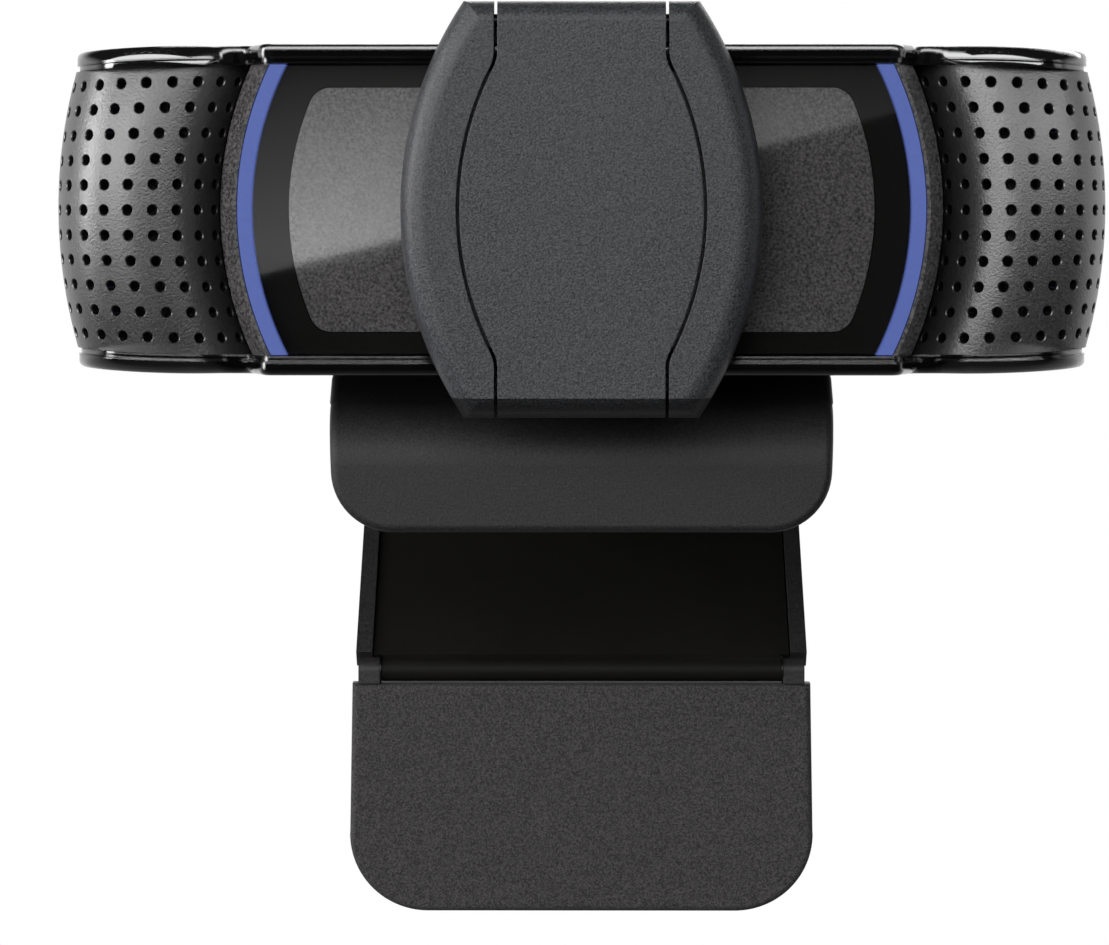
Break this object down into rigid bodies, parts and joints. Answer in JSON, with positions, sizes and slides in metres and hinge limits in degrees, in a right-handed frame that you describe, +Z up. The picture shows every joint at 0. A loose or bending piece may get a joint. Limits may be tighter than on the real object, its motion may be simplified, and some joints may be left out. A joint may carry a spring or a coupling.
{
  "type": "webcam",
  "caption": "Bar webcam with a flip-up privacy shutter, perforated microphone ends and light arcs, on a folding clip that hooks over a monitor and has a tripod thread.",
  "frame": {"origin": "centre of the clip's seat face, where the clip rests on the top edge of a monitor", "axes": "+X to the viewer's right along the bar, -Y towards the subject, +Z up"},
  "size_m": [0.094, 0.0745, 0.087],
  "materials": {
    "gloss_black": "polished",
    "frame_grey": "fine grain",
    "grille_grey": "fine grain",
    "rear_black": "satin",
    "front_glass": "clear",
    "bezel_black": "matt",
    "window_grey": "fine grain",
    "light_blue": "lit, frosted",
    "ring_metal": "satin",
    "inner_black": "matt",
    "steel": "satin",
    "magnet": "plated",
    "copper": "wire",
    "lens_glass": "coated",
    "sensor": "polished",
    "board": "solder mask",
    "ivory": "moulded",
    "led_white": "clear",
    "capsule": "drawn",
    "soft_black": "matt",
    "shutter_grey": "fine grain",
    "clip_grey": "satin grain",
    "leg_grey": "fine grain",
    "leg_black": "smooth",
    "brass": "turned",
    "foot_grey": "fine grain"
  },
  "bodies": {
    "clip": {"clip_plate": "clip_grey", "seat_pad": "soft_black", "lip_pad": "soft_black", "tilt_pin": "steel", "tilt_washers": "steel", "leg_pin": "steel"},
    "camera_head": {"top_cover": "gloss_black", "bottom_cover": "gloss_black", "front_frame": "frame_grey", "rear_cover": "rear_black", "front_glass": "front_glass", "inner_bezel": "bezel_black", "window_backing": "window_grey", "lens_ring": "ring_metal", "lens_hood": "inner_black", "focus_housing": "steel", "focus_magnets": "magnet", "focus_spring": "copper", "image_sensor": "sensor", "ir_filter": "lens_glass", "main_board": "board", "board_screws": "steel", "image_processor": "inner_black", "cable_header": "ivory", "status_leds": "led_white", "cable_gland": "soft_black", "tilt_bracket": "steel", "bracket_screws": "steel", "shutter_frame": "shutter_grey", "shutter_pin": "steel", "mic_grille_right": "grille_grey", "mic_grille_left": "grille_grey", "light_pipe_right": "light_blue", "light_pipe_left": "light_blue", "mic_capsule_right": "capsule", "mic_capsule_left": "capsule", "mic_boot_right": "soft_black", "mic_boot_left": "soft_black"},
    "lens_carriage": {"lens_barrel": "inner_black", "lens_element": "lens_glass", "focus_coil": "copper"},
    "shutter": {"shutter_flap": "shutter_grey"},
    "leg": {"rear_leg": "leg_grey", "leg_core": "leg_black", "tripod_insert": "brass", "foot_pin": "steel"},
    "foot": {"foot_carrier": "leg_grey", "foot_pad": "foot_grey"}
  },
  "joints": [
    {"name": "head_tilt", "type": "hinge", "parent": "clip", "child": "camera_head", "pos_m": [0, -0.0115, 0.0034], "axis": [1, 0, 0], "range_deg": [-18, 20]},
    {"name": "shutter_hinge", "type": "hinge", "parent": "camera_head", "child": "shutter", "pos_m": [0, -0.0303, 0.03655], "axis": [-1, 0, 0], "range_deg": [0, 180]},
    {"name": "lens_focus", "type": "slide", "parent": "camera_head", "child": "lens_carriage", "axis": [0, -1, 0], "range_m": [0, 0.0003], "stiffness_N_per_m": 60},
    {"name": "leg_hinge", "type": "hinge", "parent": "clip", "child": "leg", "pos_m": [0, 0.0395, -0.003], "axis": [1, 0, 0], "range_deg": [-48.4, 55]},
    {"name": "foot_hinge", "type": "hinge", "parent": "leg", "child": "foot", "pos_m": [0, 0.01817, -0.02499], "axis": [1, 0, 0], "range_deg": [-41.6, 43]}
  ]
}
